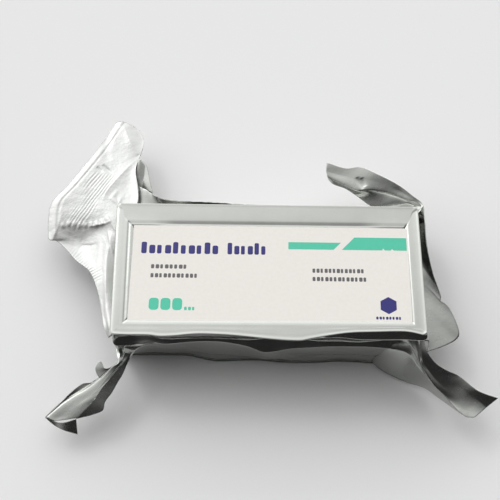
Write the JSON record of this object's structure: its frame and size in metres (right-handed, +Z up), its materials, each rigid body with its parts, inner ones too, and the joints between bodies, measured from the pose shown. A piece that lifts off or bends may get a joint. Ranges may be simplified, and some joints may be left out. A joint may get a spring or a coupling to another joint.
{
  "type": "vacuum-sealed foil pack of microscope slides",
  "caption": "Flat slide box vacuum-sealed in a silver foil pouch, with seal flaps, curled corner ears and a paper label in its recessed top.",
  "frame": {"origin": "centre of the flat underside of the box-shaped body, on the surface that the pack rests on", "axes": "+X along the box's length, towards its narrow seal flap; +Z up, out of the labelled face; -Y is the front"},
  "size_m": [0.1018, 0.0781, 0.017],
  "materials": {
    "foil": "satin, finely crinkled",
    "label_paper": "semi-gloss coated paper with printed bars"
  },
  "bodies": {
    "root": {"foil_pack": "foil", "label": "label_paper"}
  },
  "joints": []
}
